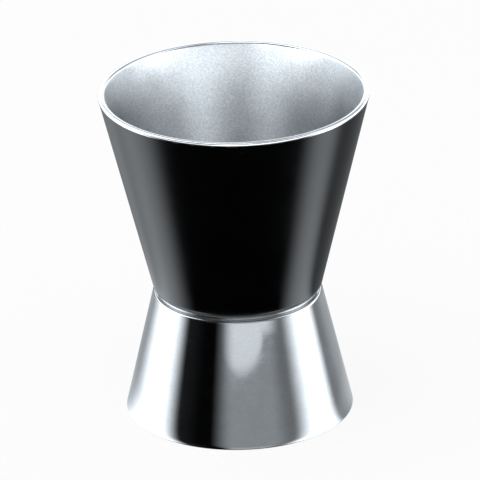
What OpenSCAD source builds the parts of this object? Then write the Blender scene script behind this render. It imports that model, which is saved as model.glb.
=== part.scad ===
// Double-ended cocktail measure: a large and a small tapered cup, brazed base to base.
// It stands on the small cup's rim. The origin is the centre of that rim, +Z is up, sizes are in mm.
// A cup's sizes are those of its straight outer wall line, carried on to its base and rim planes.

/* [Large cup] */
// Diameter of the large cup at its rim
large_rim_d = 50.2; // [44:0.2:56]
// Height of the large cup, from its base to its rim
large_h = 39.4; // [30:0.2:48]
// Radius of the large cup's outside corner, where the wall turns into the base
large_corner_r = 2; // [1.6:0.1:3]
// Radius of the large cup's inside corner
large_inner_r = 0.8; // [0.4:0.1:3]

/* [Small cup] */
// Diameter of the small cup at its rim
small_rim_d = 42.4; // [38:0.2:50]
// Height of the small cup, from its base to its rim
small_h = 23.6; // [16:0.2:32]
// Radius of the small cup's outside corner, the crisp shoulder under the waist
small_corner_r = 0.5; // [0.2:0.1:0.7]
// Radius of the small cup's inside corner
small_inner_r = 1; // [0.4:0.1:3]

/* [Waist] */
// Diameter of the large cup at its base
waist_d = 30.8; // [26:0.2:34]
// How far the small cup's base stands out past the large cup's, all round
waist_step = 0.3; // [0.1:0.1:0.8]
// Thickness of the braze between the two bases
braze_t = 0.1; // [0.05:0.05:0.3]

/* [Sheet] */
// Thickness of the cups' walls
wall_t = 1.2; // [0.8:0.1:1.6]
// Thickness of the cups' bases
base_t = 1.2; // [0.8:0.1:2]
// Share of the wall taken by the rounding of each edge of a rim, with a flat land left between
lip_share = 0.38; // [0.1:0.01:0.45]

/* [Hidden] */
$fn = 180;
// Largest turn, in degrees, between two neighbouring points of a rounding
arc_step = 6;

// A cup is a list of its base radius, rim radius, height, outside corner radius and inside corner radius
BASE_R = 0;
RIM_R = 1;
HEIGHT = 2;
CORNER_R = 3;
INNER_R = 4;
large = [waist_d / 2, large_rim_d / 2, large_h, large_corner_r, large_inner_r];
small = [waist_d / 2 + waist_step, small_rim_d / 2, small_h, small_corner_r, small_inner_r];
lip_r = wall_t * lip_share;

// The braze reaches out over the flat ledge that the large cup's rounded corner leaves on the small base.
// It lets go of the corner at wet_share of the ledge's width, and ends on the ledge at toe_share.
wet_share = 0.72;
toe_share = 0.96;
// Radius of the fillet's hollow face, as a share of the straight distance across it
hollow_share = 0.95;

// Angle of a cup's wall from the vertical
function lean(cup) = atan((cup[RIM_R] - cup[BASE_R]) / cup[HEIGHT]);

// Point at height z on a cup's outer wall line, moved in square to the wall by inset
function wall_point(cup, z, inset) =
    [cup[BASE_R] + z * tan(lean(cup)) - inset / cos(lean(cup)), z];

// Centre of the rounding at a cup's outside corner, which stands over the edge of its flat base
function corner_centre(cup) = wall_point(cup, cup[CORNER_R], cup[CORNER_R]);

// Points of an arc of radius r about centre, from angle a to angle b
function arc(centre, r, a, b) =
    let (steps = ceil(abs(b - a) / arc_step))
    [for (i = [0 : steps]) let (turn = a + (b - a) * i / steps) centre + r * [cos(turn), sin(turn)]];

// Points of an arc of radius r that turns left on its way from p to q
function arc_between(p, q, r) =
    let (
        way = q - p,
        half = norm(way) / 2,
        side = [-way[1], way[0]] / norm(way),
        centre = (p + q) / 2 + side * sqrt(r * r - half * half),
        a = atan2(p[1] - centre[1], p[0] - centre[0]),
        spread = 2 * asin(half / r)
    )
    arc(centre, r, a, a + spread);

// Width of the ledge, and the angle at which the braze lets go of the large cup's corner
ledge_w = corner_centre(small)[0] - corner_centre(large)[0];
wet_a = -acos(ledge_w * wet_share / large_corner_r);

// Half section of a cup that stands on its base at z = 0, with a point of its outline at angle split
// of the outside corner
module cup_section(cup, split = -45) {
    h = cup[HEIGHT];
    tilt = lean(cup);
    corner = corner_centre(cup);
    inner_r = cup[INNER_R];
    polygon(concat(
        [[0, 0]],
        arc(corner, cup[CORNER_R], -90, split),
        arc(corner, cup[CORNER_R], split, -tilt),
        arc(wall_point(cup, h - lip_r, lip_r), lip_r, -tilt, 90),
        arc(wall_point(cup, h - lip_r, wall_t - lip_r), lip_r, 90, 180 - tilt),
        arc(wall_point(cup, base_t + inner_r, wall_t + inner_r), inner_r, -tilt, -90),
        [[0, base_t]]
    ));
}

// The large cup opens upwards and rests on the braze
module large_cup() {
    color([0.12, 0.12, 0.13])
        translate([0, 0, small_h + braze_t])
            rotate_extrude()
                cup_section(large, wet_a);
}

// The small cup is upside down, with its rim on the table
module small_cup() {
    color([0.78, 0.79, 0.80])
        rotate_extrude()
            translate([0, small_h])
                mirror([0, 1])
                    cup_section(small);
}

// Braze between the bases: a thin disc, and a hollow fillet that creeps out and up round its edge
module waist_braze() {
    corner = corner_centre(large) + [0, braze_t];
    wetted = arc(corner, large_corner_r, -90, wet_a);
    edge = wetted[len(wetted) - 1];
    toe = [corner[0] + ledge_w * toe_share, 0];
    face = arc_between(edge, toe, hollow_share * norm(toe - edge));
    color([0.70, 0.71, 0.72])
        translate([0, 0, small_h])
            rotate_extrude()
                polygon(concat([[0, braze_t]], wetted, face, [[0, 0]]));
}

large_cup();
small_cup();
waist_braze();
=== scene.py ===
"""Looks, stage and light of a double-ended cocktail measure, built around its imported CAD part.

It is laid out as an add-on. Each piece has an operator, and its sizes and finishes are settings
in the sidebar. Sizes are in metres, and the small cup's rim stands on the floor at z = 0.
"""

import math
from typing import NamedTuple

import bpy
from bpy.props import FloatProperty, FloatVectorProperty, PointerProperty
from bpy.types import Operator, Panel, PropertyGroup
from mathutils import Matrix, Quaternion, Vector


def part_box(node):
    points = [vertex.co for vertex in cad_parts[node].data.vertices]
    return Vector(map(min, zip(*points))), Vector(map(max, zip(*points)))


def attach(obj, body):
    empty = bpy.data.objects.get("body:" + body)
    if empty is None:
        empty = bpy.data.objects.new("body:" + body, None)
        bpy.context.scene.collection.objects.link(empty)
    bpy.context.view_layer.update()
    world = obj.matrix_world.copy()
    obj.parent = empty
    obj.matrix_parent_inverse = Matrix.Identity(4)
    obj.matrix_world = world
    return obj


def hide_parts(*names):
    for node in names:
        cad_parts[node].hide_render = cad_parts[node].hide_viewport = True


bl_info = {
    "name": "Cocktail measure",
    "version": (1, 0, 0),
    "blender": (4, 5, 0),
    "location": "3D View > Sidebar > Measure",
    "description": "Builds a cocktail measure with its finishes, stage and light",
    "category": "Object",
}

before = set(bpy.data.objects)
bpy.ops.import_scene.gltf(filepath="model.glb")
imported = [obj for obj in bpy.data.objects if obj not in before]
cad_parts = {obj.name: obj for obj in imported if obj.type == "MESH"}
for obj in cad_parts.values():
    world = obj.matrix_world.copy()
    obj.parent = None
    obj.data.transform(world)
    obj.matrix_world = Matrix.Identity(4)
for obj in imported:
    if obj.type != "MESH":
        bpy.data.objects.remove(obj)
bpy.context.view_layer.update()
LARGE_LOW, LARGE_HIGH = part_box("large_cup")
SMALL_LOW, SMALL_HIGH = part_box("small_cup")
# The body that every piece rides on
BODY = "root"

MM = 0.001
# Steps round a cup, and flat steps in one rounding of its outline
TURN_STEPS = 256
BEND_STEPS = 10
# Two points closer than this are one
SAME_POINT = 0.002 * MM
# Side of the small square that is merged into the first point of an outline
SEED_SIDE = 1 * MM
# A ring on a straight wall this far past a rounding keeps the wall's shading straight. A wall
# with less room than HOLD_ROOM of these gaps has none.
HOLD_GAP = 0.35 * MM
HOLD_ROOM = 2.5
# Faces that meet at less than this are shaded as one
SMOOTH_BELOW = math.radians(50)
# The parts of a cup's surface, in the order of its materials
OUTSIDE, INSIDE, LIP = range(3)
# The braze's hollow face bends under its upper edge, at this share of that edge's height
HEEL_SHARE = 0.3


# Settings


def length(label, note, millimetres):
    """A length setting, given in millimetres."""
    return FloatProperty(
        name=label,
        description=note,
        default=millimetres * MM,
        min=0,
        unit="LENGTH",
        subtype="DISTANCE",
        precision=5,
    )


def spot(label, note, millimetres):
    """A place setting on either side of the middle, given in millimetres."""
    return FloatProperty(
        name=label, description=note, default=millimetres * MM, unit="LENGTH", precision=5
    )


def share(label, note, value):
    """A setting from 0 to 1."""
    return FloatProperty(
        name=label, description=note, default=value, min=0, max=1, subtype="FACTOR", precision=4
    )


def angle(label, note, degrees):
    """An angle setting, given in degrees."""
    return FloatProperty(
        name=label,
        description=note,
        default=math.radians(degrees),
        unit="ROTATION",
        subtype="ANGLE",
    )


def level(label, note, value):
    """A brightness setting, where 1 is the white of the background."""
    return FloatProperty(name=label, description=note, default=value, min=0)


def colour(label, note, value):
    """A colour setting."""
    return FloatVectorProperty(
        name=label, description=note, default=value, min=0, max=1, size=3, subtype="COLOR"
    )


class MeasureSizes(PropertyGroup):
    """Sizes of the two cups and of the braze between them."""

    large_rim_d: length("Large rim", "Diameter of the large cup's wall line at its rim", 50.2)
    large_h: length("Large height", "Height of the large cup", (LARGE_HIGH.z - LARGE_LOW.z) / MM)
    large_corner_r: length(
        "Large corner", "Outside radius where the large cup's wall turns into its base", 2
    )
    large_inner_r: length(
        "Large inner corner", "Inside radius at the foot of the large cup's wall", 0.8
    )
    small_rim_d: length("Small rim", "Diameter of the small cup's wall line at its rim", 42.4)
    small_h: length("Small height", "Height of the small cup", (SMALL_HIGH.z - SMALL_LOW.z) / MM)
    small_corner_r: length("Small corner", "Outside radius of the shoulder under the waist", 0.5)
    small_inner_r: length(
        "Small inner corner", "Inside radius at the foot of the small cup's wall", 1
    )
    waist_d: length("Waist", "Diameter of the large cup's wall line at its base", 30.8)
    waist_step: length(
        "Waist step", "How far the small cup's base stands out past the large cup's", 0.3
    )
    wall_t: length("Wall", "Thickness of the cups' walls", 1.2)
    base_t: length("Base", "Thickness of the cups' bases", 1.2)
    lip_share: share(
        "Lip rounding", "Share of the wall taken by the rounding of each edge of a rim", 0.38
    )
    wet_share: share(
        "Braze height", "Where the braze lets go of the large cup's corner, along the ledge", 0.72
    )
    toe_share: share("Braze toe", "Where the braze ends on the ledge", 0.96)


class MeasureFinishes(PropertyGroup):
    """Colours and polish of the finishes."""

    # The large cup's black outside is painted: it stands in for the dark reflection in its polished
    # steel
    black: colour("Black painted reflection", "Colour of the large cup's outside", (0.0006, 0.0007, 0.0009))
    black_shine: share("Black shine", "Specular level of the painted black reflection", 0.25)
    black_rough: share("Black roughness", "Roughness of the painted black reflection", 0.2)
    mirror: colour("Mirror steel", "Colour of the small cup's outside", (0.565, 0.575, 0.585))
    mirror_rough: share("Mirror roughness", "Roughness of the small cup's outside", 0.075)
    satin: colour("Satin steel", "Colour of the cups' insides", (0.62, 0.63, 0.64))
    satin_rough: share("Satin roughness", "Roughness of the cups' insides", 0.3)
    lip: colour("Polished lip", "Colour of the bare rims", (0.66, 0.67, 0.68))
    lip_rough: share("Lip roughness", "Roughness of the bare rims", 0.15)
    braze: colour("Silver braze", "Colour of the braze round the waist", (0.64, 0.645, 0.65))
    braze_rough: share("Braze roughness", "Roughness of the braze", 0.24)


class MeasureStage(PropertyGroup):
    """Camera, floor and light."""

    lens: FloatProperty(
        name="Lens", description="Focal length on a 36 mm sensor", default=607.5, unit="CAMERA"
    )
    distance: length("Distance", "Distance from the camera to the point it looks at", 1500)
    elevation: angle("Elevation", "Height of the camera above the horizon", 23.66)
    roll: angle("Roll", "Turn of the camera about its line of sight", -1.15)
    aim_x: spot("Aim across", "Place of the point the camera looks at, along X", 0.61)
    aim_z: length("Aim height", "Height of the point the camera looks at", 33.2)
    floor_r: length("Floor", "Radius of the floor", 3000)
    floor_colour: colour("Floor colour", "Colour of the floor", (0.95, 0.95, 0.95))
    floor_lift: share("Floor lift", "How much of its white the floor keeps in the shadow", 0.87)
    sky: level("Sky", "How strongly the white surroundings light matt surfaces", 0.62)
    lamp: level("Lamp", "Brightness of the softbox overhead, as it shows in a mirror", 2.0)
    lamp_side: length("Lamp side", "Side of the square softbox overhead", 800)
    lamp_x: spot("Lamp across", "Place of the softbox along X", -250)
    lamp_y: spot("Lamp back", "Place of the softbox along Y", -150)
    lamp_height: length("Lamp height", "Height of the softbox overhead", 1000)


class Cup(NamedTuple):
    """A cup that stands on its base at z = 0: its straight outer wall line and its corner radii."""

    base_r: float
    rim_r: float
    height: float
    corner_r: float
    inner_r: float

    def lean(self):
        """Angle of the wall from the vertical."""
        return math.atan2(self.rim_r - self.base_r, self.height)

    def wall(self, z, inset=0.0):
        """Radius of the wall line at height z, moved in square to the wall by inset."""
        return self.base_r + z * math.tan(self.lean()) - inset / math.cos(self.lean())

    def corner_centre_r(self):
        """Radius at which the outside corner's rounding leaves the flat base."""
        return self.wall(self.corner_r, self.corner_r)


def large_cup_sizes(s):
    """The large cup, as the settings give it."""
    return Cup(s.waist_d / 2, s.large_rim_d / 2, s.large_h, s.large_corner_r, s.large_inner_r)


def small_cup_sizes(s):
    """The small cup, as the settings give it. Its base stands out a step past the large one's."""
    base_r = s.waist_d / 2 + s.waist_step
    return Cup(base_r, s.small_rim_d / 2, s.small_h, s.small_corner_r, s.small_inner_r)


# Modelling


def deselect_all():
    """Leaves nothing selected, in object mode. The frame comes in with its nodes selected."""
    if bpy.context.object and bpy.context.object.mode != "OBJECT":
        bpy.ops.object.mode_set(mode="OBJECT")
    bpy.ops.object.select_all(action="DESELECT")


def at_radius(r, z, turn=0.0):
    """Point at radius r and height z, turned from the +X axis."""
    return Vector((r * math.cos(turn), r * math.sin(turn), z))


def draw_chain(name, points):
    """A new object with one chain of edges: a square merged into a point, then extruded from
    point to point."""
    deselect_all()
    bpy.ops.mesh.primitive_plane_add(size=SEED_SIDE, location=(0, 0, 0))
    piece = bpy.context.object
    piece.name = piece.data.name = name
    bpy.ops.object.mode_set(mode="EDIT")
    bpy.ops.mesh.select_mode(type="VERT")
    bpy.ops.mesh.select_all(action="SELECT")
    bpy.ops.mesh.merge(type="CENTER")
    bpy.ops.transform.translate(value=points[0])
    for here, there in zip(points, points[1:]):
        bpy.ops.mesh.extrude_vertices_move(TRANSFORM_OT_translate={"value": there - here})
    bpy.ops.object.mode_set(mode="OBJECT")
    return piece


def round_corner(piece, corner, radius, turn):
    """Bevels the outline's corner into a rounding of that radius. turn is how far the outline
    bends there."""
    bpy.ops.object.mode_set(mode="EDIT")
    bpy.ops.mesh.select_all(action="DESELECT")
    bpy.ops.object.mode_set(mode="OBJECT")
    nearest = min(piece.data.vertices, key=lambda v: (v.co - corner).length)
    nearest.select = True
    bpy.ops.object.mode_set(mode="EDIT")
    bpy.ops.mesh.bevel(
        offset=radius * math.tan(turn / 2),
        offset_type="OFFSET",
        segments=BEND_STEPS,
        profile=0.5,
        affect="VERTICES",
    )
    bpy.ops.object.mode_set(mode="OBJECT")


def spin(steps, angle):
    """Spins the active object's outline about Z and merges the points that meet."""
    bpy.ops.object.mode_set(mode="EDIT")
    bpy.ops.mesh.select_all(action="SELECT")
    bpy.ops.mesh.spin(steps=steps, angle=angle, center=(0, 0, 0), axis=(0, 0, 1))
    bpy.ops.mesh.select_all(action="SELECT")
    bpy.ops.mesh.remove_doubles(threshold=SAME_POINT)
    bpy.ops.object.mode_set(mode="OBJECT")


def recalculate_normals():
    """Makes the active object's faces point the same way, outwards where it is closed."""
    bpy.ops.object.mode_set(mode="EDIT")
    bpy.ops.mesh.select_all(action="SELECT")
    bpy.ops.mesh.normals_make_consistent(inside=False)
    bpy.ops.object.mode_set(mode="OBJECT")


def make_solid():
    """Spins the active object's outline a full turn into a closed solid."""
    spin(TURN_STEPS, math.tau)
    recalculate_normals()
    bpy.ops.object.shade_smooth_by_angle(angle=SMOOTH_BELOW)


def cup_points(cup, s, place):
    """The sharp outline of a cup, from the middle of its base round to the middle of its floor,
    and the corners to round. Rings that hold the shading straight stand on each side of a
    rounding. place sets a point in the frame."""
    lip_r = s.wall_t * s.lip_share
    # Radius, height, and radius of the rounding at each corner
    sharp = [
        (0, 0, 0),
        (cup.base_r, 0, cup.corner_r),
        (cup.rim_r, cup.height, lip_r),
        (cup.wall(cup.height, s.wall_t), cup.height, lip_r),
        (cup.wall(s.base_t, s.wall_t), s.base_t, cup.inner_r),
        (0, s.base_t, 0),
    ]
    flat = [Vector((r, 0, z)) for r, z, _ in sharp]
    bends = [0.0] * len(flat)
    for i in range(1, len(flat) - 1):
        bends[i] = (flat[i] - flat[i - 1]).angle(flat[i + 1] - flat[i])
    reach = [radius * math.tan(bend / 2) for (_, _, radius), bend in zip(sharp, bends)]
    points, corners = [place(flat[0])], []
    for i in range(1, len(flat)):
        way = flat[i] - flat[i - 1]
        room = way.length - reach[i - 1] - reach[i]
        ahead = way.normalized()
        if room > HOLD_ROOM * HOLD_GAP:
            if reach[i - 1]:
                points.append(place(flat[i - 1] + ahead * (reach[i - 1] + HOLD_GAP)))
            if reach[i]:
                points.append(place(flat[i] - ahead * (reach[i] + HOLD_GAP)))
        points.append(place(flat[i]))
        if reach[i]:
            corners.append((place(flat[i]), sharp[i][2], bends[i]))
    return points, corners


def make_cup(name, cup, s, place):
    """A cup with a closed base, rounded corners and a rounded lip."""
    points, corners = cup_points(cup, s, place)
    piece = draw_chain(name, points)
    for corner, radius, bend in corners:
        round_corner(piece, corner, radius, bend)
    make_solid()
    return piece


def dress(piece, materials, pick):
    """Gives the piece its materials, and each face the one that pick names for its middle."""
    for material in materials:
        piece.data.materials.append(material)
    for face in piece.data.polygons:
        face.material_index = pick(face.center)


def cup_part(cup, s, height_of):
    """A function that tells which part of a cup a face belongs to. height_of gives the height
    above the cup's base."""
    lip_r = s.wall_t * s.lip_share
    lip_from = cup.height - lip_r
    # Because the wall leans, the lip's rounding starts this much lower outside and higher inside
    shift = lip_r * math.sin(cup.lean())

    def pick(middle):
        z, r = height_of(middle.z), math.hypot(middle.x, middle.y)
        outer = r - cup.wall(z, s.wall_t / 2)
        if z > lip_from - math.copysign(shift, outer):
            return LIP
        return INSIDE if outer < 0 and z > s.base_t / 2 else OUTSIDE

    return pick


# Nodes


# Sockets of a colour Mix node, which shares their names with its other kinds
MIX_FACTOR, MIX_A, MIX_B, MIX_RESULT = 0, 6, 7, 2
# The middle values of a noise, which are spread over its whole effect
NOISE_LOW, NOISE_HIGH = 0.3, 0.7


class Sheet:
    """One node tree that nodes are added to, with their inputs set or linked by name."""

    def __init__(self, tree):
        self.tree = tree

    def add(self, kind, inputs=None, **settings):
        """A new node, with its inputs and its own settings."""
        node = self.tree.nodes.new(kind)
        for key, value in settings.items():
            setattr(node, key, value)
        for key, value in (inputs or {}).items():
            self.feed(node.inputs[key], value)
        return node

    def feed(self, socket, value):
        """Links a socket to another one, or sets it to a plain value."""
        if isinstance(value, bpy.types.NodeSocket):
            self.tree.links.new(value, socket)
        else:
            socket.default_value = value

    def maths(self, operation, *values, clamp=False):
        """The result of one step of sums."""
        node = self.add("ShaderNodeMath", operation=operation, use_clamp=clamp)
        for i, value in enumerate(values):
            self.feed(node.inputs[i], value)
        return node.outputs[0]

    def plus(self, a, b, clamp=False):
        return self.maths("ADD", a, b, clamp=clamp)

    def minus(self, a, b, clamp=False):
        return self.maths("SUBTRACT", a, b, clamp=clamp)

    def times(self, a, b):
        return self.maths("MULTIPLY", a, b)

    def over(self, a, b):
        return self.maths("DIVIDE", a, b)

    def hypot(self, a, b):
        """The long side of a right triangle."""
        squares = [self.maths("POWER", side, 2.0) for side in (a, b)]
        return self.maths("SQRT", self.plus(*squares))

    def split(self, place):
        """The X, Y and Z of a place."""
        return self.add("ShaderNodeSeparateXYZ", {"Vector": place}).outputs

    def backfacing(self):
        """1 on the back of a face and 0 on its front."""
        return self.add("ShaderNodeNewGeometry").outputs["Backfacing"]

    def ramp(self, value, low, high, to_low=0.0, to_high=1.0, smooth=True):
        """value carried from low..high to to_low..to_high, with soft ends."""
        kind = "SMOOTHSTEP" if smooth else "LINEAR"
        node = self.add("ShaderNodeMapRange", interpolation_type=kind)
        for i, v in enumerate((value, low, high, to_low, to_high)):
            self.feed(node.inputs[i], v)
        return node.outputs[0]

    def fall(self, value, low, high):
        """1 below low and 0 above high."""
        return self.ramp(value, low, high, 1.0, 0.0)

    def spread(self, noise, low=0.0, high=1.0):
        """A noise carried to low..high."""
        return self.ramp(noise, NOISE_LOW, NOISE_HIGH, low, high)

    def noise(self, place, scale, detail=2.0, roughness=0.5, distortion=0.0):
        """A cloudy pattern with scale clouds per metre."""
        inputs = {
            "Vector": place,
            "Scale": scale,
            "Detail": detail,
            "Roughness": roughness,
            "Distortion": distortion,
        }
        return self.add("ShaderNodeTexNoise", inputs).outputs["Fac"]

    def mix(self, factor, a, b):
        """Colour a going over to colour b."""
        node = self.add("ShaderNodeMix", data_type="RGBA")
        self.feed(node.inputs[MIX_FACTOR], factor)
        self.feed(node.inputs[MIX_A], a)
        self.feed(node.inputs[MIX_B], b)
        return node.outputs[MIX_RESULT]

    def mix_shaders(self, factor, a, b):
        """Shader a where factor is 0 and shader b where it is 1."""
        node = self.add("ShaderNodeMixShader", {"Fac": factor})
        self.feed(node.inputs[1], a)
        self.feed(node.inputs[2], b)
        return node.outputs[0]

    def group(self, tree, **inputs):
        """A node group's outputs. An input's name is written with _ for each space."""
        node = self.add("ShaderNodeGroup")
        node.node_tree = tree
        for key, value in inputs.items():
            self.feed(node.inputs[key.replace("_", " ")], value)
        return node.outputs


def new_group(name, inputs, outputs):
    """A new node group's sheet, its inputs, and the sockets that take its outputs. An input's
    default of None makes it a place."""
    tree = bpy.data.node_groups.new(name, "ShaderNodeTree")
    for label, default in inputs:
        kind = "NodeSocketVector" if default is None else "NodeSocketFloat"
        socket = tree.interface.new_socket(name=label, in_out="INPUT", socket_type=kind)
        if default is not None:
            socket.default_value = default
    for label in outputs:
        tree.interface.new_socket(name=label, in_out="OUTPUT", socket_type="NodeSocketFloat")
    sheet = Sheet(tree)
    return sheet, sheet.add("NodeGroupInput").outputs, sheet.add("NodeGroupOutput").inputs


def satin_group():
    """Clouds of lighter and darker polish, a fine grain, and rings left by polishing on a lathe."""
    name = "satin polish"
    if name in bpy.data.node_groups:
        return bpy.data.node_groups[name]
    inputs = [
        ("Place", None),
        ("Clouds per metre", 180.0),
        ("Grain per metre", 3200.0),
        ("Rings per metre", 2600.0),
    ]
    sheet, given, made = new_group(name, inputs, ["Clouds", "Grain", "Rings"])
    place = given["Place"]
    clouds = sheet.noise(place, given["Clouds per metre"], detail=4.0, roughness=0.62)
    grain = sheet.noise(place, given["Grain per metre"], detail=2.0, roughness=0.6)
    split = sheet.split(place)
    away = sheet.hypot(split["X"], split["Y"])
    section = sheet.add("ShaderNodeCombineXYZ", {"X": away, "Z": split["Z"]}).outputs[0]
    rings = sheet.noise(section, given["Rings per metre"], detail=3.0, roughness=0.7)
    sheet.feed(made["Clouds"], clouds)
    sheet.feed(made["Grain"], grain)
    sheet.feed(made["Rings"], rings)
    return sheet.tree


# The distance round a cup is taken at this radius
SCRATCH_R = 20 * MM
# Each set of scratches has its turn in radians and the seed of its pattern
SCRATCH_SETS = ((0.35, 3.1), (-0.9, 7.7))
# Scratches are this many per metre along their length and across it
SCRATCH_SCALE = (45.0, 520.0, 1.0)
# A coarser noise, of this many clouds per metre and more for a higher seed, breaks them up. They
# fade in between two of its values.
SCRATCH_BREAKS = 260.0
SCRATCH_MORE_BREAKS = 60.0
SCRATCH_SHOWS = (0.56, 0.66)


def scratch_group():
    """Fine short scratches from handling, in two directions round the cup."""
    name = "handling scratches"
    if name in bpy.data.node_groups:
        return bpy.data.node_groups[name]
    inputs = [("Place", None), ("Amount", 0.5), ("Width", 0.012)]
    sheet, given, made = new_group(name, inputs, ["Scratches"])
    split = sheet.split(given["Place"])
    round_way = sheet.times(sheet.maths("ARCTAN2", split["Y"], split["X"]), SCRATCH_R)
    flat = sheet.add("ShaderNodeCombineXYZ", {"X": round_way, "Y": split["Z"]}).outputs[0]
    lines = []
    for turn, seed in SCRATCH_SETS:
        pose = {
            "Vector": flat,
            "Rotation": (0, 0, turn),
            "Location": (seed, seed, 0),
            "Scale": SCRATCH_SCALE,
        }
        turned = sheet.add("ShaderNodeMapping", pose).outputs[0]
        field = sheet.noise(turned, 1.0, detail=1.0, roughness=0.4, distortion=0.15)
        # A line runs where the noise passes its middle value
        line = sheet.fall(sheet.maths("ABSOLUTE", sheet.minus(field, 0.5)), 0.0, given["Width"])
        breaks = sheet.noise(given["Place"], SCRATCH_BREAKS + SCRATCH_MORE_BREAKS * seed)
        lines.append(sheet.times(line, sheet.ramp(breaks, *SCRATCH_SHOWS)))
    both = sheet.maths("MAXIMUM", *lines)
    sheet.feed(made["Scratches"], sheet.times(both, given["Amount"]))
    return sheet.tree


# The sum of nearness and noise between which wear fades in
WEAR_SHOWS = (0.55, 0.8)


def edge_group():
    """Wear that is strongest at one height and breaks up as it leaves it."""
    name = "edge wear"
    if name in bpy.data.node_groups:
        return bpy.data.node_groups[name]
    inputs = [("Place", None), ("Height", 0.06), ("Reach", 0.001), ("Breaks per metre", 900.0)]
    sheet, given, made = new_group(name, inputs, ["Wear"])
    height = sheet.split(given["Place"])["Z"]
    away = sheet.maths("ABSOLUTE", sheet.minus(height, given["Height"]))
    nearness = sheet.minus(1.0, sheet.over(away, given["Reach"]), clamp=True)
    broken = sheet.noise(given["Place"], given["Breaks per metre"], detail=3.0, roughness=0.6)
    worn = sheet.plus(nearness, sheet.minus(broken, 0.5))
    sheet.feed(made["Wear"], sheet.ramp(worn, *WEAR_SHOWS))
    return sheet.tree


def new_material(name):
    """A material with an empty node tree, its sheet, its Object coordinates and its output."""
    material = bpy.data.materials.new(name)
    material.use_nodes = True
    material.node_tree.nodes.clear()
    sheet = Sheet(material.node_tree)
    place = sheet.add("ShaderNodeTexCoord").outputs["Object"]
    return material, sheet, place, sheet.add("ShaderNodeOutputMaterial").inputs["Surface"]


def tint(rgb, by):
    """The colour rgb, made lighter or darker."""
    return (*[min(1.0, c * by) for c in rgb], 1.0)


def bumped(sheet, *heights):
    """A normal from several pairs of a height and its depth in metres, laid over each other."""
    normal = None
    for height, depth in heights:
        node = sheet.add("ShaderNodeBump", {"Height": height, "Distance": depth, "Strength": 1.0})
        if normal is not None:
            sheet.feed(node.inputs["Normal"], normal)
        normal = node.outputs["Normal"]
    return normal


class Polish(NamedTuple):
    """How a bare steel surface is finished. Shades and play are shares of its plain colour and
    roughness, and depths are in metres."""

    clouds_per_metre: float
    cloud_shade: float
    rough_play: float
    grain_shade: float
    grain_depth: float
    ring_depth: float
    scratches: float
    # Painted light and shade: lighter towards the rim and darker deeper in a cup, as the light
    # falls in
    painted_light_to_rim: bool = False


SATIN = Polish(
    clouds_per_metre=170.0,
    cloud_shade=0.05,
    rough_play=0.08,
    grain_shade=0.15,
    grain_depth=0.006 * MM,
    ring_depth=0.002 * MM,
    scratches=0.1,
    painted_light_to_rim=True,
)
POLISHED_LIP = Polish(
    clouds_per_metre=400.0,
    cloud_shade=0.04,
    rough_play=0.3,
    grain_shade=0.03,
    grain_depth=0.001 * MM,
    ring_depth=0.001 * MM,
    scratches=0.2,
)
MIRROR = Polish(
    clouds_per_metre=320.0,
    cloud_shade=0.03,
    rough_play=0.25,
    grain_shade=0.03,
    grain_depth=0.0006 * MM,
    ring_depth=0.0005 * MM,
    scratches=0.22,
)
BRAZED = Polish(
    clouds_per_metre=300.0,
    cloud_shade=0.03,
    rough_play=0.08,
    grain_shade=0.02,
    grain_depth=0.0002 * MM,
    ring_depth=0.0,
    scratches=0.0,
)

# A scratch's depth, and how much lighter and rougher it is than bare steel
SCRATCH_DEPTH = -0.002 * MM
SCRATCH_LIGHTER = 1.25
SCRATCH_ROUGHER = 0.12
# Painted shade and light in the satin: its colour goes from the first of these shares at the first
# height, darker deep in a cup, to the second at the second, lighter near the rim, as the light
# falls in. Both heights are taken down from the large cup's rim. The small cup is all below them.
PAINTED_SHADE_HEIGHTS = (LARGE_HIGH.z - 15.1 * MM, LARGE_HIGH.z - 1.1 * MM)
PAINTED_DEEP_SHADE = 0.86
PAINTED_RIM_LIGHT = 1.12


def steel(name, rgb, rough, polish):
    """Bare steel: clouds in its shade and roughness, fine grain, lathe rings and scratches, and
    where the polish asks for it, painted shade deep in a cup and painted light towards its rim. A
    material that two cups share is made once."""
    if name in bpy.data.materials:
        return bpy.data.materials[name]
    material, sheet, place, out = new_material(name)
    worked = sheet.group(satin_group(), Place=place, Clouds_per_metre=polish.clouds_per_metre)
    marks = sheet.group(scratch_group(), Place=place, Amount=polish.scratches)["Scratches"]
    darkest = tint(rgb, 1 - polish.cloud_shade)
    lightest = tint(rgb, 1 + polish.cloud_shade)
    shade = sheet.mix(sheet.spread(worked["Clouds"]), darkest, lightest)
    grain = sheet.spread(worked["Grain"], 1 - polish.grain_shade, 1 + polish.grain_shade)
    # Painted shade deep in the cup and painted light towards its rim, laid over the grain's shade
    if polish.painted_light_to_rim:
        height = sheet.split(place)["Z"]
        grain = sheet.times(grain, sheet.ramp(height, *PAINTED_SHADE_HEIGHTS, PAINTED_DEEP_SHADE, PAINTED_RIM_LIGHT))
    mottle_and_painted_shade = sheet.add("ShaderNodeVectorMath", {0: shade, 1: grain}, operation="MULTIPLY")
    base = sheet.mix(marks, mottle_and_painted_shade.outputs[0], tint(rgb, SCRATCH_LIGHTER))
    smoothest, roughest = rough * (1 - polish.rough_play), rough * (1 + polish.rough_play)
    wander = sheet.spread(worked["Clouds"], smoothest, roughest)
    shader = sheet.add(
        "ShaderNodeBsdfPrincipled",
        {
            "Base Color": base,
            "Metallic": 1.0,
            "Roughness": sheet.plus(wander, sheet.times(marks, SCRATCH_ROUGHER), clamp=True),
            "Normal": bumped(
                sheet,
                (worked["Grain"], polish.grain_depth),
                (worked["Rings"], polish.ring_depth),
                (marks, SCRATCH_DEPTH),
            ),
        },
    )
    sheet.feed(out, shader.outputs[0])
    return material


# The shades and roughness between which the black wanders, as shares of its own
BLACK_SHADES = (0.8, 1.25)
BLACK_ROUGHS = (0.9, 1.12)
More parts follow.
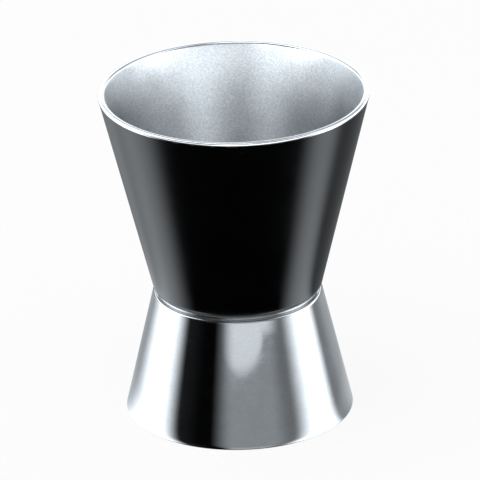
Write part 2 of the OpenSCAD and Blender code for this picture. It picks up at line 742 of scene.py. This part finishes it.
# How strongly a scratch shows in it, how many times lighter it is, and how much rougher
BLACK_MARKS = 0.3
BLACK_MARK_LIGHTER = 12
BLACK_MARK_ROUGHER = 0.1
# The most bare steel that shows where it is worn and where it is thin, and that steel's shade
WORN_BARE = 0.7
THIN_BARE = 0.95
BARE_SHADE = 0.9
# How far below the lip it is worn, and how deep its grain and its lathe rings are
WEAR_REACH = 0.35 * MM
BLACK_GRAIN_DEPTH = 0.003 * MM
BLACK_RING_DEPTH = 0.0012 * MM
# It is thin up to THIN_FROM above the large cup's base. With every THIN_HALF above that, half as
# much of the bare steel shows. Both are shares of the cup's corner radius.
THIN_FROM = 0.15
THIN_HALF = 0.085


def black_finish(f, cup, base_z, lip_z):
    """Satin-gloss black on steel that stands in for the dark reflection in the large cup's polished
    steel outside: a painted reflection. It is a little worn where it meets the bright lip, and
    thins out to the bare steel towards the braze."""
    material, sheet, place, out = new_material("black_finish")
    worked = sheet.group(
        satin_group(), Place=place, Clouds_per_metre=140.0, Grain_per_metre=2400.0
    )
    marks = sheet.group(scratch_group(), Place=place, Amount=0.6, Width=0.008)["Scratches"]
    wear = sheet.group(edge_group(), Place=place, Height=lip_z, Reach=WEAR_REACH)["Wear"]
    # The black is a painted dark reflection. Its clouds, scratches and wear are the surface's own.
    darkest, lightest = [tint(f.black, by) for by in BLACK_SHADES]
    shade = sheet.mix(sheet.spread(worked["Clouds"]), darkest, lightest)
    lighter = tint(f.black, BLACK_MARK_LIGHTER)
    marked = sheet.mix(sheet.times(marks, BLACK_MARKS), shade, lighter)
    foot_z = base_z + THIN_FROM * cup.corner_r
    halves = sheet.over(sheet.minus(sheet.split(place)["Z"], foot_z), THIN_HALF * cup.corner_r)
    thin = sheet.maths("MINIMUM", sheet.maths("POWER", 0.5, halves), THIN_BARE)
    bare = sheet.maths("MAXIMUM", sheet.times(wear, WORN_BARE), thin)
    wander = sheet.spread(worked["Clouds"], *[f.black_rough * by for by in BLACK_ROUGHS])
    shader = sheet.add(
        "ShaderNodeBsdfPrincipled",
        {
            "Base Color": sheet.mix(bare, marked, tint(f.satin, BARE_SHADE)),
            "Metallic": bare,
            "Roughness": sheet.plus(wander, sheet.times(marks, BLACK_MARK_ROUGHER), clamp=True),
            "Specular IOR Level": f.black_shine,
            "Normal": bumped(
                sheet,
                (worked["Grain"], BLACK_GRAIN_DEPTH),
                (worked["Rings"], BLACK_RING_DEPTH),
                (marks, SCRATCH_DEPTH),
            ),
        },
    )
    sheet.feed(out, shader.outputs[0])
    return material


def inside_and_lip(f):
    """The finishes that both cups have inside and at their lips."""
    return (
        steel("satin_steel", f.satin, f.satin_rough, SATIN),
        steel("polished_lip", f.lip, f.lip_rough, POLISHED_LIP),
    )


# Stage

# Flat steps in a studio reflector and round the floor
REFLECTOR_STEPS = 96
FLOOR_STEPS = 96
# The reflectors' light is a little cool
REFLECTOR_COLOUR = (0.94, 1.0, 1.05, 1.0)
# Rays that glance off a cup's sides go on behind it, between these azimuths, and seem to come
# from a point this many times further forward
GLANCING = (95.0, 150.0)
GLANCING_FORWARD = 2.7
# How far in front of the axis the rays from the small cup seem to come from, in millimetres
SMALL_CUP_FORWARD = 15
# Nearest and furthest that the camera sees, in metres
CAMERA_SEES = (0.01, 50)
# The distances from the axis between which a wall's ground goes from its close brightness to its
# plain one, and those of a painted contact shadow: a dark line in the ground's light where the
# rim meets the ground, with its shade
CLOSE_GROUND = (22 * MM, 42 * MM)
CONTACT_LINE = (20.9 * MM, 21.5 * MM)
CONTACT_SHADE = 0.25


def azimuth_group():
    """Azimuth in degrees, 0 towards the camera and 90 to the right, and height in millimetres.
    The azimuth is taken round a point in front of the axis, where the reflected rays of a round
    cup seem to come from. That point moves forward for the rays that glance off its sides."""
    name = "round the object"
    if name in bpy.data.node_groups:
        return bpy.data.node_groups[name]
    inputs = [("Place", None), ("Forward", 0.0)]
    sheet, given, made = new_group(name, inputs, ["Azimuth", "Height"])
    split = sheet.split(given["Place"])

    def azimuth(forward):
        back = sheet.plus(split["Y"], forward)
        turn = sheet.maths("ARCTAN2", split["X"], sheet.times(back, -1.0))
        return sheet.times(turn, math.degrees(1))

    sideways = sheet.maths("ABSOLUTE", azimuth(given["Forward"]))
    glancing = sheet.ramp(sideways, *GLANCING, 1.0, GLANCING_FORWARD)
    sheet.feed(made["Azimuth"], azimuth(sheet.times(given["Forward"], glancing)))
    sheet.feed(made["Height"], sheet.over(split["Z"], MM))
    return sheet.tree


class Ring(NamedTuple):
    """A studio reflector that goes right round the object. Its outline is (radius, height) in
    millimetres. level is its brightness straight behind the object, and each change is (from
    azimuth, to azimuth, new brightness). forward is where its azimuths are taken from, as
    azimuth_group says, in millimetres. close is how many times brighter it is close to the
    object, where it also has a painted contact shadow, a dark line right at the rim."""

    name: str
    outline: tuple
    level: float
    changes: tuple
    forward: float = 0
    from_above: bool = False
    close: float = 1


# The large cup's outside faces down and sees only the sloping skirt, which is clear from below.
# The small cup's outside sees the ground and the low wall. The bands above them show in the
# roundings at the waist and in the lips.
RINGS = (
    Ring(
        "skirt",
        ((16.2, 23.45), (320, 0.6)),
        0.4,
        (
            (-158, -132, 1.05),
            (-132, -98, 2.7),
            (-91, -65, 0.0),
            (61, 84, 3.25),
            (88, 113, 0.26),
        ),
        forward=10,
        from_above=True,
    ),
    Ring(
        "low_wall",
        ((20.75, 0.03), (150, 0.03), (150, 45)),
        0.47,
        (
            (-152, -116, 2.2),
            (-92, -66, 0.014),
            (-66, -40, 0.002),
            (-32, -8, 0.40),
            (34, 54, 0.235),
            (56, 85, 2.2),
            (101, 121, 0.31),
            (124, 150, 0.5),
        ),
        forward=SMALL_CUP_FORWARD,
        close=1.3,
    ),
    Ring(
        "mouth_band",
        ((150, 45), (150, 80)),
        0.5,
        (
            (-140, -110, 3.3),
            (-98, -72, 0.02),
            (-31, -8, 0.9),
            (28, 50, 0.3),
            (64, 94, 3.1),
            (115, 135, 0.5),
        ),
        forward=SMALL_CUP_FORWARD,
    ),
    Ring(
        "rim_band",
        ((150, 80), (150, 132)),
        1.8,
        (
            (-150, -130, 2.6),
            (-90, -70, 0.03),
            (-31, -8, 0.7),
            (28, 50, 0.3),
            (60, 85, 2.6),
            (130, 150, 1.8),
        ),
    ),
    Ring(
        "high_wall",
        ((150, 132), (150, 600)),
        0.55,
        (
            (-160, -132, 2.8),
            (-90, -70, 0.03),
            (-31, -8, 0.5),
            (28, 50, 0.3),
            (66, 86, 1.7),
            (115, 135, 0.5),
        ),
    ),
)


def make_reflector(name, outline, right=90, reach=360):
    """Draws an outline in millimetres and spins it about Z, from azimuth right round to the left
    by reach degrees, into a sheet that only shows as a reflection."""
    start = math.radians(right - 90)
    piece = draw_chain(name, [at_radius(r * MM, z * MM, start) for r, z in outline])
    spin(REFLECTOR_STEPS, math.radians(reach))
    piece.visible_camera = piece.visible_diffuse = piece.visible_shadow = False
    piece.visible_transmission = piece.visible_volume_scatter = False
    return piece


def face_up(piece):
    """Turns the faces of a reflector, the active object, upwards."""
    recalculate_normals()
    if piece.data.polygons[0].normal.z < 0:
        piece.data.flip_normals()


def from_axis(sheet, place):
    """How far a place is from the Z axis."""
    split = sheet.split(place)
    return sheet.hypot(split["X"], split["Y"])


def brightness_round(sheet, azimuth, level, changes):
    """The brightness at an azimuth, from a Ring's level and changes."""
    brightness, before = level, level
    for start, end, after in changes:
        change = sheet.ramp(azimuth, start, end, 0.0, after - before)
        brightness, before = sheet.plus(brightness, change), after
    return brightness


def glow(sheet, out, brightness, cover=1.0):
    """Lets a reflector shine as far as cover says that it is there. It gives no light to matt
    surfaces."""
    path = sheet.add("ShaderNodeLightPath").outputs
    there = sheet.times(sheet.maths("LESS_THAN", path["Diffuse Depth"], 0.5), cover)
    lit = {"Color": REFLECTOR_COLOUR, "Strength": brightness}
    shine = sheet.add("ShaderNodeEmission", lit).outputs[0]
    clear = sheet.add("ShaderNodeBsdfTransparent").outputs[0]
    sheet.feed(out, sheet.mix_shaders(there, clear, shine))


def make_ring(ring):
    """One ring of the studio."""
    piece = make_reflector("reflector_" + ring.name, ring.outline)
    material, sheet, place, out = new_material("reflector_" + ring.name)
    azimuth = sheet.group(azimuth_group(), Place=place, Forward=ring.forward * MM)["Azimuth"]
    brightness = brightness_round(sheet, azimuth, ring.level, ring.changes)
    if ring.close != 1:
        away = from_axis(sheet, place)
        brightness = sheet.times(brightness, sheet.ramp(away, *CLOSE_GROUND, ring.close, 1.0))
        # A painted contact shadow: a dark line in the ground's light where the rim stands on it
        brightness = sheet.times(brightness, sheet.ramp(away, *CONTACT_LINE, CONTACT_SHADE, 1.0))
    cover = 1.0
    if ring.from_above:
        face_up(piece)
        cover = sheet.minus(1.0, sheet.backfacing())
    glow(sheet, out, brightness, cover)
    piece.data.materials.append(material)


# The window, in azimuths in degrees and heights in millimetres: its outline, its right end and
# how far it reaches, its brightness and its soft left edge
WINDOW_OUTLINE = ((138, 12), (138, 44))
WINDOW_RIGHT = 66
WINDOW_REACH = 90
WINDOW_BRIGHTNESS = 1.08
WINDOW_LEFT = (-23.0, -4.0)
# The middle and half size of its round lobe, and the lobe's soft edge as shares of that size
LOBE_MIDDLE = (4.0, 24.0)
LOBE_HALF_SIZE = (29.0, 6.5)
LOBE_EDGE = (0.84, 1.1)
# The right edge and the foot of the column over the lobe
COLUMN_RIGHT = (17.0, 28.0)
COLUMN_FOOT = (23.4, 24.4)
# The right end and the foot of the strip. Its foot rises by STRIP_RISE per degree on the left of
# STRIP_PIVOT, and sinks on the right.
STRIP_RIGHT = (34.0, 58.0)
STRIP_FOOT = (23.9, 25.3)
STRIP_PIVOT = 24.0
STRIP_RISE = 0.142


def make_window():
    """A lighter window in the low wall in front: a round lobe that hangs from a strip."""
    piece = make_reflector("reflector_window", WINDOW_OUTLINE, WINDOW_RIGHT, WINDOW_REACH)
    material, sheet, place, out = new_material("reflector_window")
    found = sheet.group(azimuth_group(), Place=place, Forward=SMALL_CUP_FORWARD * MM)
    azimuth, height = found["Azimuth"], found["Height"]
    across, down = [
        sheet.over(sheet.minus(value, middle), half)
        for value, middle, half in zip((azimuth, height), LOBE_MIDDLE, LOBE_HALF_SIZE)
    ]
    lobe = sheet.fall(sheet.hypot(across, down), *LOBE_EDGE)
    column = sheet.times(sheet.fall(azimuth, *COLUMN_RIGHT), sheet.ramp(height, *COLUMN_FOOT))
    slope = sheet.plus(height, sheet.times(sheet.minus(azimuth, STRIP_PIVOT), STRIP_RISE))
    strip = sheet.times(sheet.ramp(slope, *STRIP_FOOT), sheet.fall(azimuth, *STRIP_RIGHT))
    shape = sheet.maths("MAXIMUM", lobe, sheet.maths("MAXIMUM", column, strip))
    cover = sheet.times(sheet.ramp(azimuth, *WINDOW_LEFT), shape)
    glow(sheet, out, WINDOW_BRIGHTNESS, cover)
    piece.data.materials.append(material)


# The collar's outline in millimetres, its right end and how far it reaches, in degrees
COLLAR_OUTLINE = ((29.5, 62), (149, 145.7))
COLLAR_RIGHT = 145
COLLAR_REACH = 290
# Its brightness close to the rim and further out, each as a Ring's level and changes
COLLAR_CLOSE = (
    1.8,
    ((-135, -95, 5.2), (-88, -52, 1.2), (-25, -3, 3.7), (25, 48, 2.4), (64, 100, 5.5)),
)
COLLAR_FAR = (0.3, ((-125, -85, 3.0), (-38, -8, 0.3), (35, 70, 1.2)))
# The close brightness goes over to the far one from COLLAR_OVER_FROM to a distance that grows
# from the first of COLLAR_OVER_TO to the second, between the azimuths of COLLAR_OVER_TURN
COLLAR_OVER_FROM = 34 * MM
COLLAR_OVER_TURN = (25.0, 75.0)
COLLAR_OVER_TO = (43 * MM, 60 * MM)
# Its inner edge is dim
COLLAR_EDGE = (29.5 * MM, 31.5 * MM)
COLLAR_EDGE_SHADE = 0.2
# It is open behind the second of these azimuths on each side
COLLAR_SIDES = (115.0, 145.0)
# Its sides end at a distance that grows from the first to the second between two azimuths
COLLAR_END_TURN = (20.0, 60.0)
COLLAR_END = (56 * MM, 95 * MM)
# The soft left and right edges of the front, where it reaches all the way out
FRONT_LEFT = (-50.0, -35.0)
FRONT_RIGHT = (45.0, 60.0)


def make_collar():
    """A wide collar that rises round the mouth like a dish, and is clear from below. It lights
    the large cup's inside across the rim. It is bright close to the rim and dims further out."""
    piece = make_reflector("reflector_collar", COLLAR_OUTLINE, COLLAR_RIGHT, COLLAR_REACH)
    face_up(piece)
    material, sheet, place, out = new_material("reflector_collar")
    azimuth = sheet.group(azimuth_group(), Place=place)["Azimuth"]
    away = from_axis(sheet, place)
    close = brightness_round(sheet, azimuth, *COLLAR_CLOSE)
    far = brightness_round(sheet, azimuth, *COLLAR_FAR)
    over_by = sheet.ramp(azimuth, *COLLAR_OVER_TURN, *COLLAR_OVER_TO)
    outwards = sheet.ramp(away, COLLAR_OVER_FROM, over_by)
    brightness = sheet.plus(close, sheet.times(outwards, sheet.minus(far, close)))
    brightness = sheet.times(brightness, sheet.ramp(away, *COLLAR_EDGE, COLLAR_EDGE_SHADE, 1.0))
    end = sheet.ramp(azimuth, *COLLAR_END_TURN, *COLLAR_END)
    sides = sheet.fall(sheet.maths("ABSOLUTE", azimuth), *COLLAR_SIDES)
    sides = sheet.times(sides, sheet.maths("LESS_THAN", away, end))
    front = sheet.times(sheet.ramp(azimuth, *FRONT_LEFT), sheet.fall(azimuth, *FRONT_RIGHT))
    above = sheet.minus(1.0, sheet.backfacing())
    cover = sheet.times(sheet.maths("MAXIMUM", sides, front), above)
    glow(sheet, out, brightness, cover)
    piece.data.materials.append(material)


def make_floor(stage):
    """A wide pale floor, clear from below. The eye and mirrors see it lighter than it is, with a
    softer shadow."""
    deselect_all()
    bpy.ops.mesh.primitive_circle_add(
        vertices=FLOOR_STEPS, radius=stage.floor_r, fill_type="NGON", location=(0, 0, 0)
    )
    floor = bpy.context.object
    floor.name = floor.data.name = "floor"
    material, sheet, _, out = new_material("pale_floor")
    matt = sheet.add("ShaderNodeBsdfDiffuse", {"Color": (*stage.floor_colour, 1.0)}).outputs[0]
    white = sheet.add("ShaderNodeEmission", {"Strength": 1.0}).outputs[0]
    clear = sheet.add("ShaderNodeBsdfTransparent").outputs[0]
    lift = sheet.times(seen_directly(sheet), stage.floor_lift)
    seen = sheet.mix_shaders(lift, matt, white)
    sheet.feed(out, sheet.mix_shaders(sheet.backfacing(), seen, clear))
    floor.data.materials.append(material)


def seen_directly(sheet):
    """1 where the camera, a mirror or glass looks, and 0 where a matt surface gathers light."""
    path = sheet.add("ShaderNodeLightPath").outputs
    seen = sheet.plus(path["Is Camera Ray"], path["Is Glossy Ray"], clamp=True)
    return sheet.plus(seen, path["Is Transmission Ray"], clamp=True)


def make_surroundings(stage):
    """White all round for the eye and for mirrors, and softer as a light on matt surfaces."""
    world = bpy.data.worlds.new("white_surroundings")
    world.use_nodes = True
    bpy.context.scene.world = world
    world.node_tree.nodes.clear()
    sheet = Sheet(world.node_tree)
    strength = sheet.ramp(seen_directly(sheet), 0.0, 1.0, stage.sky, 1.0, smooth=False)
    white = {"Color": (1, 1, 1, 1), "Strength": strength}
    background = sheet.add("ShaderNodeBackground", white).outputs[0]
    sheet.feed(sheet.add("ShaderNodeOutputWorld").inputs["Surface"], background)


def make_softbox(name, place, aim, side, brightness):
    """A square lamp that faces aim. brightness is how bright it shows in a mirror, where 1 is
    white, and its power follows from that and its area."""
    deselect_all()
    bpy.ops.object.light_add(type="AREA", location=place)
    lamp = bpy.context.object
    lamp.name = lamp.data.name = name
    lamp.data.shape = "SQUARE"
    lamp.data.size = side
    lamp.data.energy = brightness * side * side * math.pi
    lamp.rotation_euler = (Vector(aim) - Vector(place)).to_track_quat("-Z", "Y").to_euler()


def make_camera(stage):
    """The camera at the photograph's angle."""
    deselect_all()
    bpy.ops.object.camera_add()
    camera = bpy.context.object
    camera.name = camera.data.name = "front_camera"
    back = Vector((0, -math.cos(stage.elevation), math.sin(stage.elevation)))
    camera.location = Vector((stage.aim_x, 0, stage.aim_z)) + back * stage.distance
    look = (-back).to_track_quat("-Z", "Y") @ Quaternion((0, 0, 1), stage.roll)
    camera.rotation_euler = look.to_euler()
    camera.data.lens = stage.lens
    camera.data.clip_start, camera.data.clip_end = CAMERA_SEES
    bpy.context.scene.camera = camera


# Operators


class MEASURE_OT_stage(Operator):
    """Make the camera, the floor, the surroundings, the softbox and the reflectors"""

    bl_idname = "measure.stage"
    bl_label = "Stage"
    bl_options = {"REGISTER", "UNDO"}

    def execute(self, context):
        stage = context.scene.measure_stage
        make_camera(stage)
        make_floor(stage)
        make_surroundings(stage)
        place = (stage.lamp_x, stage.lamp_y, stage.lamp_height)
        make_softbox("top_softbox", place, (0, 0, 0), stage.lamp_side, stage.lamp)
        for ring in RINGS:
            make_ring(ring)
        make_window()
        make_collar()
        context.scene.view_settings.view_transform = "Standard"
        return {"FINISHED"}


class MEASURE_OT_large_cup(Operator):
    """Make the large cup, black outside, satin inside and bright at the lip"""

    bl_idname = "measure.large_cup"
    bl_label = "Large cup"
    bl_options = {"REGISTER", "UNDO"}

    def execute(self, context):
        s, f = context.scene.measure_sizes, context.scene.measure_finishes
        cup, base_z = large_cup_sizes(s), LARGE_LOW.z
        piece = make_cup("large_cup_body", cup, s, lambda p: p + Vector((0, 0, base_z)))
        lip_z = base_z + cup.height - s.wall_t * s.lip_share
        # The black outside is a painted dark reflection, with real wear and scratches
        finishes = [black_finish(f, cup, base_z, lip_z), *inside_and_lip(f)]
        dress(piece, finishes, cup_part(cup, s, lambda z: z - base_z))
        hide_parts("large_cup")
        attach(piece, BODY)
        return {"FINISHED"}


class MEASURE_OT_small_cup(Operator):
    """Make the small cup, upside down on the floor, mirror polished outside and satin inside"""

    bl_idname = "measure.small_cup"
    bl_label = "Small cup"
    bl_options = {"REGISTER", "UNDO"}

    def execute(self, context):
        s, f = context.scene.measure_sizes, context.scene.measure_finishes
        cup, base_z = small_cup_sizes(s), SMALL_HIGH.z
        piece = make_cup("small_cup_body", cup, s, lambda p: Vector((p.x, p.y, base_z - p.z)))
        mirror = steel("mirror_steel", f.mirror, f.mirror_rough, MIRROR)
        finishes = [mirror, *inside_and_lip(f)]
        dress(piece, finishes, cup_part(cup, s, lambda z: base_z - z))
        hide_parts("small_cup")
        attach(piece, BODY)
        return {"FINISHED"}


class MEASURE_OT_waist_braze(Operator):
    """Make the braze: the film between the cups' bases and its hollow fillet round the waist"""

    bl_idname = "measure.waist_braze"
    bl_label = "Waist braze"
    bl_options = {"REGISTER", "UNDO"}

    def execute(self, context):
        s, f = context.scene.measure_sizes, context.scene.measure_finishes
        large, small = large_cup_sizes(s), small_cup_sizes(s)
        low, high = SMALL_HIGH.z, LARGE_LOW.z
        edge_r = large.corner_centre_r()
        ledge = small.corner_centre_r() - edge_r
        wet = math.acos(ledge * s.wet_share / large.corner_r)
        centre = Vector((edge_r, 0, high + large.corner_r))
        wetted = []
        for i in range(BEND_STEPS + 1):
            turn = wet + (math.pi / 2 - wet) * i / BEND_STEPS
            wetted.append(centre + large.corner_r * Vector((math.cos(turn), 0, -math.sin(turn))))
        toe = Vector((edge_r + ledge * s.toe_share, 0, low))
        heel = Vector((wetted[0].x, 0, low + (wetted[0].z - low) * HEEL_SHARE))
        points = [Vector((0, 0, low)), toe, heel, *wetted, Vector((0, 0, high))]
        piece = draw_chain("waist_braze_seam", points)
        make_solid()
        dress(piece, [steel("silver_braze", f.braze, f.braze_rough, BRAZED)], lambda middle: 0)
        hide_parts("waist_braze")
        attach(piece, BODY)
        return {"FINISHED"}


class MEASURE_PT_sidebar(Panel):
    """The measure's pieces and settings"""

    bl_idname = "MEASURE_PT_sidebar"
    bl_label = "Cocktail measure"
    bl_space_type = "VIEW_3D"
    bl_region_type = "UI"
    bl_category = "Measure"

    def draw(self, context):
        for operator in OPERATORS:
            self.layout.operator(operator.bl_idname)
        for title, group in (
            ("Sizes", context.scene.measure_sizes),
            ("Finishes", context.scene.measure_finishes),
            ("Stage", context.scene.measure_stage),
        ):
            box = self.layout.box()
            box.label(text=title)
            for key in group.__annotations__:
                box.prop(group, key)


OPERATORS = (MEASURE_OT_stage, MEASURE_OT_large_cup, MEASURE_OT_small_cup, MEASURE_OT_waist_braze)
CLASSES = (MeasureSizes, MeasureFinishes, MeasureStage, *OPERATORS, MEASURE_PT_sidebar)


def register():
    for cls in CLASSES:
        bpy.utils.register_class(cls)
    bpy.types.Scene.measure_sizes = PointerProperty(type=MeasureSizes)
    bpy.types.Scene.measure_finishes = PointerProperty(type=MeasureFinishes)
    bpy.types.Scene.measure_stage = PointerProperty(type=MeasureStage)


def unregister():
    del bpy.types.Scene.measure_sizes
    del bpy.types.Scene.measure_finishes
    del bpy.types.Scene.measure_stage
    for cls in reversed(CLASSES):
        bpy.utils.unregister_class(cls)


def main():
    register()
    bpy.ops.measure.stage()
    bpy.ops.measure.large_cup()
    bpy.ops.measure.small_cup()
    bpy.ops.measure.waist_braze()
    deselect_all()


if __name__ == "__main__":
    main()
